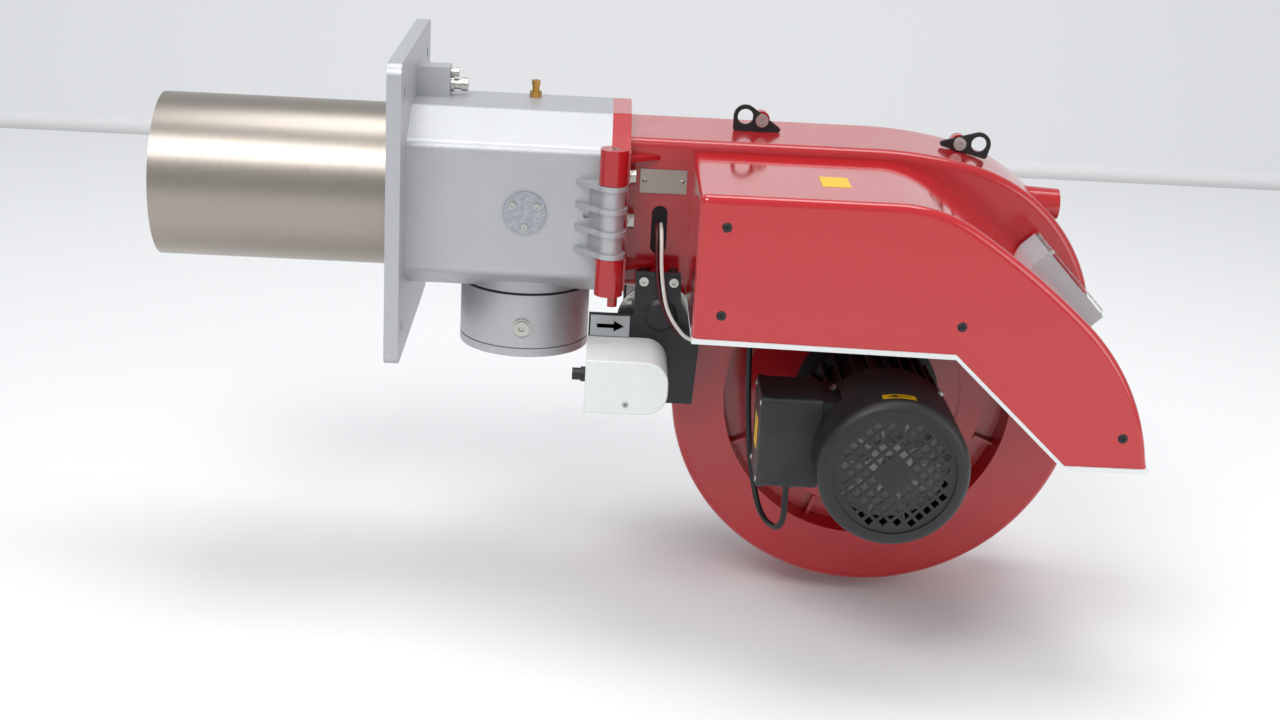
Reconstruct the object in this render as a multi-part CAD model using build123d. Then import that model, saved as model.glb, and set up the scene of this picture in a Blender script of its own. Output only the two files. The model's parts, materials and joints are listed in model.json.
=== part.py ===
"""Industrial gas burner with a blast tube, a hinged fan body, a fan motor and a servo-driven air damper.

Frame: origin at the centre of the mounting flange's boiler face, on the blast tube axis.
-X points into the boiler, +X runs back along the burner, -Y is the motor side and +Z is up.
Sizes are in millimetres.
"""
import math
import os

from build123d import *

# ---- fits and gaps -------------------------------------------------------------------------
FIT = 0.05                      # radial clearance of a shaft, pin or tube in its bore
SEAT = 0.3                      # gap left where curved or soft faces meet

# ---- blast tube and mounting flange --------------------------------------------------------
TUBE_R = 89.0
TUBE_WALL = 3.0
TUBE_REACH = 260.0              # how far the tube stands into the boiler
TUBE_SEAT = 22.0                # how far it runs back into the flange
FLANGE_SIZE = 320.0
FLANGE_T = 15.0
FLANGE_CORNER = 14.0
STUD_PITCH = 250.0
STUD_HOLE_R = 6.5

# ---- head housing --------------------------------------------------------------------------
HEAD_W = 210.0
HEAD_H = 198.0
HEAD_BEVEL_Y = 60.0             # how far the corner bevels reach across the top
HEAD_BEVEL_Z = 30.0             # and down the sides
HEAD_EDGE_R = 12.0
HEAD_WALL = 7.0
NECK_END = 55.0                 # seam between the flange's neck and the housing
HEAD_END = 230.0                # joint face to the fan body
HEAD_MID = 141.0                # centre of the gas inlet and of the side cover
GAS_PORT_R = 36.0
COLLAR_R = 72.0
COLLAR_H = 70.0
COLLAR_GASKET_T = 2.5
COLLAR_LIP_H = 9.0
SIDE_COVER_R = 23.0
SIDE_COVER_T = 2.5

# ---- body hinge ----------------------------------------------------------------------------
HINGE_X = 233.0
HINGE_Y = -123.0
HINGE_BOSS_R = 13.0
HINGE_RIM_R = 16.0
HINGE_BARREL_R = 15.0
HINGE_PIN_R = 6.0
LUG_TOP = 39.0                  # top and bottom of the housing's lug
LUG_BOTTOM = -39.0
LUG_FIN_T = 5.5
LUG_FINS = 4
LUG_TIP_X = 194.0
BARREL_TOP = 77.0
BARREL_BOTTOM = -80.0
BARREL_GAP = 0.5

# ---- fan body ------------------------------------------------------------------------------
PLATE_T = 20.0
BODY_W = 140.0
BODY_TOP = 78.0
DUCT_BOTTOM = -86.0
BODY_WALL = 6.0
BODY_EDGE_R = 9.0
FAN_X = 527.0                   # fan and motor axis
FAN_Z = -203.0
# The scroll is a chain of tangent arcs: crown, shoulder, heel and toe radii.
CROWN_X = 512.0
CROWN_R = 450.0
CROWN_DEG = 13.9
SHOULDER_R = 190.0
HEEL_R = 233.0
TOE_R = 222.0
BODY_FOOT = -423.0
TONGUE_R = 24.0
RECESS_R = 160.0
RECESS_FLOOR = -40.0            # Y of the annular channel's floor
RECESS_RIM_R = 126.0            # opening that the fan wheel passes through
PLATE_R = 134.0                 # motor plate
MOTOR_PLATE_T = 9.0
RECESS_RIBS = 8
INLET_R = 84.0
SIGHT_Z = 13.0
SIGHT_END = 728.0
SIGHT_R = 20.0
SIGHT_BORE_R = 12.0

# ---- air intake and damper -----------------------------------------------------------------
INTAKE_DEPTH = 100.0
INTAKE_WALL = 5.0
INTAKE_LEFT = 256.0
INTAKE_TOP = -86.0
INTAKE_BOTTOM = -152.0
DAMPER_X = 287.0
DAMPER_Z = -119.0
DAMPER_SHAFT_R = 5.0
BLADE_T = 3.0
BLADE_GAP = 2.0
DIAL_R = 43.0
CRANK_R = 15.0
CRANK_REST_DEG = 225.0          # where the crank pins stand at rest, from +X towards +Z
CRANK_PIN_R = 2.5
SERVO_Z = -164.0
SERVO_SHAFT_R = 3.5

# ---- fan wheel and motor -------------------------------------------------------------------
WHEEL_R = 120.0
WHEEL_INNER_R = 98.0
WHEEL_BLADES = 36
WHEEL_FRONT = -34.0
WHEEL_BACK = 48.0
SHAFT_R = 9.5
MOTOR_FLANGE_R = 80.0
MOTOR_FLANGE_T = 11.0
MOTOR_CORE_R = 62.0
MOTOR_FIN_R = 75.25
MOTOR_FINS = 28
MOTOR_FIN_T = 2.6
MOTOR_BACK = -222.0             # Y where the frame ends and the fan cover starts
COVER_R = 77.5
COVER_FRONT = -300.0
COVER_WALL = 2.2
COVER_EDGE_R = 11.0
GRILLE_R = 60.0
GRILLE_PITCH = 10.2
GRILLE_HOLE = 6.8
GRILLE_T = 2.0
COOLING_FAN_R = 64.0

# ---- electrical hood -----------------------------------------------------------------------
HOOD_FRONT = -265.0
HOOD_BACK = -70.0
HOOD_WALL = 3.0
HOOD_LEFT = 317.0
HOOD_TOP = 66.0
HOOD_RIGHT = 790.0
HOOD_BOTTOM = -80.0
HOOD_KNEE_X = 582.0
HOOD_LOW_X = 704.0
HOOD_LOW_Z = -197.0
HOOD_EDGE_R = 8.0
HOOD_LIP_H = 16.0
HOOD_LIP_OUT = 3.0
SEAL_H = 5.0
SEAL_W = 7.0

# ---- small parts ---------------------------------------------------------------------------
LEAD_R = 2.0
MOTOR_CABLE_R = 3.2

PARTS = "parts"
os.makedirs(PARTS, exist_ok=True)


def save(name, shape):
    """Writes one node; a list becomes a group of separate solids."""
    if isinstance(shape, (list, tuple)):
        shape = Compound(children=[s for item in shape for s in item.solids()])
    export_step(shape, f"{PARTS}/{name}.step")


def rod(x, y, z, radius, length, axis):
    """A cylinder that starts at a point and runs along an axis such as '+X'."""
    direction = {"X": (1, 0, 0), "Y": (0, 1, 0), "Z": (0, 0, 1)}[axis[1]]
    sign = 1 if axis[0] == "+" else -1
    plane = Plane(origin=(x, y, z), z_dir=tuple(sign * d for d in direction))
    return extrude(plane * Circle(radius), length)


def block(x0, x1, y0, y1, z0, z1):
    """A box between two corners."""
    return Pos((x0 + x1) / 2, (y0 + y1) / 2, (z0 + z1) / 2) * Box(x1 - x0, y1 - y0, z1 - z0)


def xz(y):
    """A drawing plane whose local x is +X and local y is +Z, facing the motor side (-Y)."""
    return Plane(origin=(0, y, 0), x_dir=(1, 0, 0), z_dir=(0, -1, 0))


def slab(face, y_back, y_front):
    """Extrudes an XZ profile from y_back towards the motor side to y_front."""
    return extrude(xz(y_back) * face, abs(y_back - y_front), dir=(0, -1 if y_front < y_back else 1, 0))


def turned(profile, x, z):
    """Revolves (radius, y) points about an axis along Y through x, z."""
    plane = Plane(origin=(x, 0, z), x_dir=(1, 0, 0), z_dir=(0, 0, 1))
    return revolve(plane * make_face(Polyline(*profile, close=True)), Axis((x, 0, z), (0, 1, 0)))


def hex_screw(x, y, z, axis, radius=5.0, head=4.0, shank=3.0, depth=8.0):
    """A cap screw: round head with a hexagon socket outside the face, shank inside it."""
    sign = 1 if axis[0] == "+" else -1
    direction = {"X": (1, 0, 0), "Y": (0, 1, 0), "Z": (0, 0, 1)}[axis[1]]
    out = Plane(origin=(x, y, z), z_dir=tuple(sign * d for d in direction))
    body = extrude(out * Circle(radius), head)
    if depth:
        body += extrude(out * Circle(shank), -depth)
    return body - extrude(out.offset(head) * RegularPolygon(radius * 0.5, 6), -head * 0.5)


# ---- head side -----------------------------------------------------------------------------
def head_section(inset=0.0):
    """The rounded octagon of the housing, in the YZ plane."""
    w = HEAD_W / 2 - inset
    h = HEAD_H / 2 - inset
    by = HEAD_BEVEL_Y - inset * 0.5
    bz = HEAD_BEVEL_Z - inset * 0.25
    quarter = [(w, h - bz), (w - by, h)]
    points = quarter + [(-y, z) for y, z in reversed(quarter)]
    points += [(-y, -z) for y, z in quarter] + [(y, -z) for y, z in reversed(quarter)]
    face = make_face(Polyline(*points, close=True))
    return fillet(face.vertices(), HEAD_EDGE_R)


def head_slab(x0, x1, inset=0.0):
    """The housing section extruded from x0 to x1."""
    plane = Plane(origin=(x0, 0, 0), x_dir=(0, 1, 0), z_dir=(1, 0, 0))
    return extrude(plane * head_section(inset), x1 - x0)


def blast_tube():
    tube = rod(-TUBE_REACH, 0, 0, TUBE_R, TUBE_REACH + TUBE_SEAT, "+X")
    return tube - rod(-TUBE_REACH, 0, 0, TUBE_R - TUBE_WALL, TUBE_REACH + TUBE_SEAT, "+X")


BOSS_X = (15.0, 51.0)           # cast block on the neck that carries the chamber pressure tap
BOSS_Y = (0.0, 30.0)
BOSS_TOP = 131.0


def mounting_flange():
    plane = Plane(origin=(0, 0, 0), x_dir=(0, 1, 0), z_dir=(1, 0, 0))
    plate = extrude(plane * RectangleRounded(FLANGE_SIZE, FLANGE_SIZE, FLANGE_CORNER), FLANGE_T)
    neck = head_slab(FLANGE_T, NECK_END) - head_slab(TUBE_SEAT, NECK_END, HEAD_WALL)
    part = plate + neck + block(BOSS_X[0], BOSS_X[1], *BOSS_Y, HEAD_H / 2 - 1, BOSS_TOP)
    part -= rod(-1, 0, 0, TUBE_R + FIT, TUBE_SEAT + 2, "+X")
    for sy in (-1, 1):
        for sz in (-1, 1):
            part -= rod(-1, sy * STUD_PITCH / 2, sz * STUD_PITCH / 2, STUD_HOLE_R, FLANGE_T + 2, "+X")
    return part


def pressure_tap():
    """Zinc-plated test tap on the flange's block: hexagon, neck and cap, with a small lug above it."""
    y = sum(BOSS_Y) / 2
    z = BOSS_TOP - 20.0
    x = BOSS_X[1]
    body = rod(x, y, z, 8.5, 4, "+X") + rod(x, y, z, 6.0, 18, "+X") + rod(x + 12, y, z, 7.5, 7, "+X")
    lug = rod(x, y, z + 13, 4.0, 7, "+X") + rod(x + 5, y, z + 13, 5.0, 4, "+X")
    return [body - rod(x + 19.1, y, z, 2.5, -6, "+X"), lug]


def lug_outline(z0, z1, radius, tip):
    """Hinge lug material: a round boss faired into the housing's side."""
    plane = Plane(origin=(0, 0, z0), z_dir=(0, 0, 1))
    side = -HEAD_W / 2
    web = make_face(Polyline((tip, side + 2), (tip, side - 1), (HINGE_X - radius * 0.35, HINGE_Y - radius * 0.93),
                             (HINGE_X, HINGE_Y), (HEAD_END - 2, side + 2), close=True))
    return extrude(plane * (web + Pos(HINGE_X, HINGE_Y) * Circle(radius)), z1 - z0)


def head_housing():
    part = head_slab(NECK_END, HEAD_END) + rod(HEAD_MID, 0, -HEAD_H / 2, COLLAR_R - 1.5, 40, "+Z")
    part -= head_slab(NECK_END - 1, HEAD_END + 1, HEAD_WALL)
    part += lug_outline(LUG_BOTTOM + 1, LUG_TOP - 1, HINGE_BOSS_R, HINGE_X - 24)
    step = (LUG_TOP - LUG_BOTTOM - LUG_FIN_T) / (LUG_FINS - 1)
    for i in range(LUG_FINS):
        z = LUG_BOTTOM + i * step
        part += lug_outline(z, z + LUG_FIN_T, HINGE_RIM_R, LUG_TIP_X)
    part -= block(HEAD_END, HEAD_END + 40, -HEAD_W / 2 + 0.01, HEAD_W / 2, -HEAD_H, HEAD_H)
    part -= rod(HINGE_X, HINGE_Y, LUG_BOTTOM - 1, HINGE_PIN_R + FIT, LUG_TOP - LUG_BOTTOM + 2, "+Z")
    part -= rod(HEAD_MID, 0, -HEAD_H, GAS_PORT_R, HEAD_H, "+Z")
    part -= rod(HEAD_MID, -HEAD_W, 0, SIDE_COVER_R - 5, HEAD_W / 2 + 20, "+Y")
    part -= rod(NIPPLE_X, NIPPLE_Y, 0, NIPPLE_R, HEAD_H, "+Z")
    part -= rod(LUG_TIP_X + 12, -HEAD_W, 0, 3.2, HEAD_W / 2 + 4, "+Y")
    return part


NIPPLE_X = 144.0
NIPPLE_Y = 25.0
NIPPLE_R = 4.0


def gas_nipple():
    """Brass gas pressure nipple, hexagon below and a tapered hose end above."""
    top = HEAD_H / 2
    hexagon = extrude(Plane(origin=(NIPPLE_X, NIPPLE_Y, top)) * RegularPolygon(6.5, 6), 7)
    stem = rod(NIPPLE_X, NIPPLE_Y, top - 8, NIPPLE_R, 26, "+Z") + rod(NIPPLE_X, NIPPLE_Y, top + 14, 4.8, 5, "+Z")
    return hexagon + stem - rod(NIPPLE_X, NIPPLE_Y, top + 6, 1.5, 20, "+Z")


def side_cover():
    return rod(HEAD_MID, -HEAD_W / 2, 0, SIDE_COVER_R, SIDE_COVER_T, "-Y")


def side_cover_screws():
    """Three screws on a 34 mm circle; their shanks sit in the housing's wall."""
    out = []
    for a in (90 + 60, 90 - 60, 270):
        x = HEAD_MID + 15.0 * math.cos(math.radians(a))
        z = 15.0 * math.sin(math.radians(a))
        out.append(hex_screw(x, -HEAD_W / 2 - SIDE_COVER_T, z, "-Y", 3.6, 2.0, 1.6, 0))
    return out


def gas_collar():
    """Turned gas inlet collar under the housing, with a lip at its foot and four threaded stud holes."""
    top = -HEAD_H / 2 - COLLAR_GASKET_T
    foot = top - COLLAR_H
    part = rod(HEAD_MID, 0, top, COLLAR_R, COLLAR_H, "-Z")
    groove = rod(HEAD_MID, 0, foot + COLLAR_LIP_H, COLLAR_R + 1, 1.5, "+Z")
    part -= groove - rod(HEAD_MID, 0, foot, COLLAR_R - 2, COLLAR_H, "+Z")
    part -= rod(HEAD_MID, 0, foot - 1, GAS_PORT_R, COLLAR_H + 2, "+Z")
    part -= rod(HEAD_MID, -COLLAR_R - 1, PLUG_Z, PLUG_R + FIT, 9, "+Y")
    part -= rod(HEAD_MID, -COLLAR_R - 1, PLUG_Z, 11.0, 1 + SPOT_DEPTH, "+Y")
    for i in range(4):
        a = math.radians(45 + 90 * i)
        x = HEAD_MID + GAS_BOLT_CIRCLE / 2 * math.cos(a)
        y = GAS_BOLT_CIRCLE / 2 * math.sin(a)
        part -= rod(x, y, foot - 1, GAS_BOLT_R, 19, "+Z")
    return part


GAS_BOLT_CIRCLE = 110.0
GAS_BOLT_R = 4.2
PLUG_Z = -138.0
PLUG_R = 6.0
SPOT_DEPTH = 0.9


def collar_plug():
    """Hexagon socket plug with a washer on the collar's motor side."""
    face = -COLLAR_R + SPOT_DEPTH
    part = rod(HEAD_MID, face, PLUG_Z, 10.0, 2.0, "-Y") + rod(HEAD_MID, face, PLUG_Z, 7.6, 5.0, "-Y")
    part += rod(HEAD_MID, face, PLUG_Z, PLUG_R, 7.0, "+Y")
    return part - slab(Pos(HEAD_MID, PLUG_Z) * RegularPolygon(4, 6), face - 2, face - 6)


def collar_gasket():
    ring = rod(HEAD_MID, 0, -HEAD_H / 2, COLLAR_R - 1.5, COLLAR_GASKET_T, "-Z")
    return ring - rod(HEAD_MID, 0, -HEAD_H / 2 + 1, GAS_PORT_R, COLLAR_GASKET_T + 2, "-Z")


# ---- mixing head inside the tube -----------------------------------------------------------
GAS_PIPE_R = 30.0
GAS_PIPE_WALL = 3.0
NOZZLE_X = -205.0
DISC_X = -222.0
DISC_R = 70.0


def gas_pipe():
    """Elbow from the gas inlet up to the axis, then forward to the nozzle ring."""
    base = -HEAD_H / 2 + HEAD_WALL
    def run(radius):
        path = FilletPolyline((HEAD_MID, 0, base + 3), (HEAD_MID, 0, 0), (NOZZLE_X, 0, 0), radius=45)
        return sweep(Plane(origin=path @ 0, z_dir=path % 0) * Circle(radius), path=path)
    foot = rod(HEAD_MID, 0, base, GAS_PORT_R + 2.5, 5, "+Z")
    bore = GAS_PIPE_R - GAS_PIPE_WALL
    return foot + run(GAS_PIPE_R) - run(bore) - rod(HEAD_MID, 0, base - 1, bore, 7, "+Z")


def nozzle_ring():
    """Closed gas head with radial ports and eight jet tubes."""
    head = rod(NOZZLE_X, 0, 0, GAS_PIPE_R + 8, 14, "-X") + rod(NOZZLE_X, 0, 0, GAS_PIPE_R + 8, 10, "+X")
    head -= rod(NOZZLE_X, 0, 0, GAS_PIPE_R + FIT, 11, "+X")
    for i in range(8):
        a = 360 / 8 * i
        head += Rot(a, 0, 0) * Pos(NOZZLE_X - 7, 0, GAS_PIPE_R + 20) * Cylinder(4.5, 32)
    return head


def flame_disc():
    """Perforated swirl disc in front of the nozzles, on its centre stud."""
    disc = rod(DISC_X, 0, 0, DISC_R, 2.5, "-X") - rod(DISC_X + 1, 0, 0, 12, 5, "-X")
    slot = Pos(DISC_X - 1.2, 0, 44) * Rot(0, 0, 0) * Box(6, 4.5, 34)
    for i in range(16):
        disc -= Rot(360 / 16 * i + 20, 0, 0) * slot
    legs = [Rot(120 * i + 30, 0, 0) * Pos(DISC_X + 1.5, 0, 28) * Rot(0, 90, 0) * Cylinder(2.5, 3.0) for i in range(3)]
    return disc + legs


def electrode(angle, reach):
    """Ceramic-bodied electrode that stands along the gas pipe, clipped to it."""
    turn = Rot(angle, 0, 0)
    body = turn * rod(DISC_X + 34, 0, GAS_PIPE_R + 22, 6, 90, "+X")
    wire = turn * rod(DISC_X - reach, 0, GAS_PIPE_R + 22, 1.4, reach + 34, "+X")
    clip = turn * block(DISC_X + 70, DISC_X + 78, -7, 7, GAS_PIPE_R + SEAT, GAS_PIPE_R + 17)
    return body + wire + clip


# ---- fan body ------------------------------------------------------------------------------
def body_profile():
    """Duct and scroll outline in the XZ plane, closed at the hinge plate."""
    left = HEAD_END + PLATE_T - 1
    crown = CenterArc((CROWN_X, BODY_TOP - CROWN_R), CROWN_R, 90, -CROWN_DEG)
    tilt = math.radians(CROWN_DEG)
    cx, cz = (crown @ 1).X - SHOULDER_R * math.sin(tilt), (crown @ 1).Y - SHOULDER_R * math.cos(tilt)
    shoulder = CenterArc((cx, cz), SHOULDER_R, 90 - CROWN_DEG, CROWN_DEG - 90)
    heel_x, heel_z = cx + SHOULDER_R - HEEL_R, BODY_FOOT + HEEL_R
    back = Line(shoulder @ 1, (cx + SHOULDER_R, heel_z))
    heel = CenterArc((heel_x, heel_z), HEEL_R, 0, -90)
    toe = CenterArc((heel_x, BODY_FOOT + TOE_R), TOE_R, 270, -90)
    x = heel_x - TOE_R
    drop = Line(toe @ 1, (x, DUCT_BOTTOM - TONGUE_R))
    tongue = CenterArc((x - TONGUE_R, DUCT_BOTTOM - TONGUE_R), TONGUE_R, 0, 90)
    rest = Polyline(tongue @ 1, (left, DUCT_BOTTOM), (left, BODY_TOP), (CROWN_X, BODY_TOP))
    return make_face([crown, shoulder, back, heel, toe, drop, tongue, rest])


def body_cavity():
    """The outline inside the walls, open at the hinge plate."""
    left = HEAD_END + PLATE_T
    mid = (BODY_TOP + DUCT_BOTTOM) / 2
    mouth = Pos(left, mid) * Rectangle(40, BODY_TOP - DUCT_BOTTOM - 2 * BODY_WALL)
    return offset(body_profile(), -BODY_WALL) + mouth


def rounded_slab(face, y_back, y_front, radius):
    """A slab whose two outlines are rounded over all the way round from the hinge plate."""
    solid = slab(face, y_back, y_front)
    rims = ShapeList(e for f in (solid.faces().sort_by(Axis.Y)[0], solid.faces().sort_by(Axis.Y)[-1])
                     for e in f.outer_wire().edges() if e.center().X > HEAD_END + PLATE_T)
    return fillet(rims, radius)


def fan_body():
    half = BODY_W / 2
    part = rounded_slab(body_profile(), half, -half, BODY_EDGE_R)
    part -= slab(body_cavity(), half - BODY_WALL, -half + BODY_WALL)
    # recessed channel round the motor, cast into the motor side
    channel = [(RECESS_RIM_R, RECESS_FLOOR), (RECESS_RIM_R, RECESS_FLOOR + BODY_WALL),
               (RECESS_R + BODY_WALL, RECESS_FLOOR + BODY_WALL), (RECESS_R + BODY_WALL, -half + 1),
               (RECESS_R, -half), (RECESS_R - 3, RECESS_FLOOR)]
    part -= rod(FAN_X, -half - 1, FAN_Z, RECESS_R, BODY_WALL + 2, "+Y")
    part += turned(channel, FAN_X, FAN_Z)
    for i in range(RECESS_RIBS):
        rib = Pos(FAN_X, 0, FAN_Z) * Rot(0, 360 / RECESS_RIBS * i + 20, 0)
        part += rib * block(PLATE_R + 1, RECESS_R - 0.5, RECESS_FLOOR - 9, RECESS_FLOOR + 1, -2, 2)
    part -= rod(FAN_X, half - BODY_WALL - 1, FAN_Z, INLET_R, BODY_WALL + 2, "+Y")
    for i in range(PLATE_SCREWS):
        x, z = plate_screw(i)
        part -= rod(x, RECESS_FLOOR - 1, z, PLATE_SCREW_R, 1 + BODY_WALL - 1, "+Y")
    # hinge plate with barrels
    top_z = LUG_TOP + BARREL_GAP
    low_z = LUG_BOTTOM - BARREL_GAP
    barrels = rod(HINGE_X, HINGE_Y, top_z, HINGE_BARREL_R, BARREL_TOP - top_z, "+Z")
    barrels += rod(HINGE_X, HINGE_Y, BARREL_BOTTOM, HINGE_BARREL_R, low_z - BARREL_BOTTOM, "+Z")
    for z0, z1 in ((top_z, BARREL_TOP - 4), (BARREL_BOTTOM + 4, low_z)):
        barrels += block(HINGE_X, HEAD_END + PLATE_T, HINGE_Y, -HEAD_W / 2 + 30, z0, z1)
    barrels += rod(HINGE_X + 4, HINGE_Y - 2, BARREL_BOTTOM - 12, 6.0, 14, "+Z")
    barrels -= block(HEAD_END - 40, HEAD_END, -HEAD_W / 2 - 1.5, 0, -HEAD_H, HEAD_H)
    plate = head_slab(HEAD_END, HEAD_END + PLATE_T)
    part += plate - rod(HINGE_X, HINGE_Y, low_z, HINGE_RIM_R + 1, top_z - low_z, "+Z") + barrels
    part -= block(HEAD_END - 1, HEAD_END + PLATE_T + 2, -half + BODY_WALL, half - BODY_WALL,
                  DUCT_BOTTOM + BODY_WALL, BODY_TOP - BODY_WALL)
    part -= rod(HINGE_X, HINGE_Y, -HEAD_H, HINGE_PIN_R + FIT, 2 * HEAD_H, "+Z")
    for z in RIB_Z:
        rib = make_face(Polyline((HEAD_END + 10, -HEAD_W / 2 + 8), (HEAD_END + PLATE_T + 34, -half + 1),
                                 (HEAD_END + 10, -half + 1), close=True))
        part += extrude(Plane(origin=(0, 0, z)) * rib, 5)
    # sight port, eye bosses and the leads' slot
    port = Plane(origin=(SIGHT_END, 0, SIGHT_Z), z_dir=(-1, 0, 0))
    cone = extrude(port * Circle(SIGHT_R - 3), 62, taper=-3)
    part += cone - slab(body_cavity(), half - BODY_WALL, -half + BODY_WALL)
    part -= rod(SIGHT_END + 1, 0, SIGHT_Z, SIGHT_BORE_R, 80, "-X")
    for x, z in EYE_SCREWS:
        part += block(x - 9, x + 9, EYE_T / 2, EYE_T / 2 + 12, z - 24, z) + rod(x, EYE_T / 2, z, 9.0, 12, "+Y")
        part -= rod(x, EYE_T / 2 - 1, z, EYE_SCREW_R, 9, "+Y")
    part -= slab(Pos(LEADS_X, LEADS_Z) * Rot(0, 0, 90) * SlotOverall(SLOT_LEN, SLOT_W),
                 -half + SLOT_DEPTH, -half - 1)
    for x in BRACKET_SCREW_X:
        part -= rod(x, -half - 1, BRACKET_SCREW_Z, BRACKET_SCREW_R, BODY_WALL, "+Y")
    return part


RIB_Z = (56.0, -62.0)
PLATE_SCREWS = 4
PLATE_SCREW_R = 3.0
LEADS_X = 285.0
LEADS_Z = -21.0
SLOT_LEN = 54.0
SLOT_W = 17.0
SLOT_DEPTH = 5.0
EYE_T = 4.0
EYE_HOLE_R = 8.5
EYE_SCREW_R = 2.5
EYE_SCREWS = ((393.0, 91.0), (612.0, 76.0))
BRACKET_SCREW_R = 2.5


def plate_screw(i):
    """Screw place on the motor plate's rim."""
    a = math.radians(45 + 360 / PLATE_SCREWS * i)
    return (FAN_X + 129.5 * math.cos(a), FAN_Z + 129.5 * math.sin(a))


def lifting_eye(hole, screw, foot, corner):
    """Sheet steel lifting eye: a lobe round the hole that fairs down to a foot along the body."""
    lobes = Sketch() + [Pos(*hole) * Circle(13), Pos(*foot) * Circle(3), Pos(*corner) * Circle(3)]
    plate = slab(make_hull(lobes.edges()), EYE_T / 2, -EYE_T / 2)
    plate -= rod(hole[0], -5, hole[1], EYE_HOLE_R, 10, "+Y")
    return plate - rod(screw[0], -5, screw[1], EYE_SCREW_R + FIT, 10, "+Y")


def sight_glass():
    return rod(SIGHT_END - 8, 0, SIGHT_Z, SIGHT_BORE_R - FIT, 5, "+X")


def motor_plate():
    """Red disc that closes the channel's middle and carries the motor."""
    front = RECESS_FLOOR - MOTOR_PLATE_T
    disc = rod(FAN_X, RECESS_FLOOR, FAN_Z, PLATE_R, MOTOR_PLATE_T, "-Y")
    disc -= rod(FAN_X, RECESS_FLOOR + 1, FAN_Z, SHAFT_R + 8, MOTOR_PLATE_T + 2, "-Y")
    disc -= turned([(104, front - 1), (104, front + 1.5), (107, front + 1.5), (107, front - 1)], FAN_X, FAN_Z)
    for i in range(PLATE_SCREWS):
        x, z = plate_screw(i)
        disc -= rod(x, RECESS_FLOOR + 1, z, PLATE_SCREW_R, MOTOR_PLATE_T + 2, "-Y")
    return disc


def screws(places, axis, radius, head, shank, depth):
    """Several equal cap screws."""
    return [hex_screw(x, y, z, axis, radius, head, shank, depth) for x, y, z in places]


def intake_profile(inset=0.0):
    """Far-side intake: a straight throat that runs into a round box over the fan inlet."""
    left = INTAKE_LEFT - (10 if inset else 0)
    height = INTAKE_TOP - INTAKE_BOTTOM - 2 * inset
    throat = Pos((left + FAN_X) / 2, (INTAKE_TOP + INTAKE_BOTTOM) / 2) * Rectangle(FAN_X - left, height)
    return Pos(FAN_X, FAN_Z) * Circle(INLET_R + 34 - inset) + throat


def air_intake():
    back = BODY_W / 2
    part = slab(intake_profile(), back + INTAKE_DEPTH, back)
    part -= slab(intake_profile(INTAKE_WALL), back + INTAKE_DEPTH - INTAKE_WALL, back + INTAKE_WALL)
    part -= rod(FAN_X, back - 1, FAN_Z, INLET_R, INTAKE_WALL + 2, "+Y")
    part += rod(DAMPER_X, back + INTAKE_DEPTH, DAMPER_Z, 12, 6, "+Y")
    return part - rod(DAMPER_X, back - 1, DAMPER_Z, DAMPER_SHAFT_R + FIT, INTAKE_DEPTH + 5, "+Y")


def intake_grille():
    """Guard across the intake's mouth."""
    x0, x1 = INTAKE_LEFT - 3, INTAKE_LEFT
    y0, y1 = BODY_W / 2 + 2, BODY_W / 2 + INTAKE_DEPTH - 2
    z0, z1 = INTAKE_BOTTOM + 2, INTAKE_TOP - 2
    guard = block(x0, x1, y0, y1, z0, z1) - block(x0 - 1, x1 + 1, y0 + 6, y1 - 6, z0 + 6, z1 - 6)
    for i in range(4):
        z = z0 + 10 + i * 14
        guard += block(x0, x1, y0 + 3, y1 - 3, z - 1.5, z + 1.5)
    return guard


# ---- damper drive --------------------------------------------------------------------------
DIAL_Y = -88.0                  # front of the dial
ARM_Y = -95.0                   # front of the servo's crank arm
LINK_Y = -100.0                 # front of the link
BRACKET_Y = -107.0              # front of the bracket
BRACKET_T = 3.0
BRACKET_SCREW_X = (271.0, 303.0)
BRACKET_SCREW_Z = -68.0
SERVO_LEFT = 213.0
SERVO_RIGHT = 300.0
SERVO_TOP = -132.0
SERVO_BOTTOM = -190.0
SERVO_FRONT = -192.0


def crank_pin(z):
    a = math.radians(CRANK_REST_DEG)
    return (DAMPER_X + CRANK_R * math.cos(a), z + CRANK_R * math.sin(a))


def blade_span():
    """Y range of the damper blade."""
    return (BODY_W / 2 + INTAKE_WALL + BLADE_GAP, BODY_W / 2 + INTAKE_DEPTH - INTAKE_WALL - BLADE_GAP)


def damper_shaft():
    """Through shaft with the adjusting dial at the motor side and a flat for the blade."""
    far = BODY_W / 2 + INTAKE_DEPTH + 3
    y0, y1 = blade_span()
    shaft = rod(DAMPER_X, DIAL_Y, DAMPER_Z, DAMPER_SHAFT_R, far - DIAL_Y, "+Y")
    shaft -= block(DAMPER_X + DAMPER_SHAFT_R - 1.5, DAMPER_X + 10, y0, y1, DAMPER_Z - 9, DAMPER_Z + 9)
    dial = rod(DAMPER_X, DIAL_Y, DAMPER_Z, DIAL_R, 4, "+Y")
    for i in range(24):
        notch = Pos(DAMPER_X, 0, DAMPER_Z) * Rot(0, 15 * i, 0)
        dial -= notch * block(DIAL_R - 3, DIAL_R + 1, DIAL_Y - 1, DIAL_Y + 1.5, -0.8, 0.8)
    px, pz = crank_pin(DAMPER_Z)
    return shaft + dial + rod(px, DIAL_Y + 1, pz, CRANK_PIN_R, DIAL_Y + 1 - LINK_Y + 1, "-Y")


def damper_blade():
    y0, y1 = blade_span()
    half = (INTAKE_TOP - INTAKE_BOTTOM) / 2 - INTAKE_WALL - BLADE_GAP
    x = DAMPER_X + DAMPER_SHAFT_R - 1.5
    return block(x, x + BLADE_T, y0 + 0.2, y1 - 0.2, DAMPER_Z - half, DAMPER_Z + half)


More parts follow.
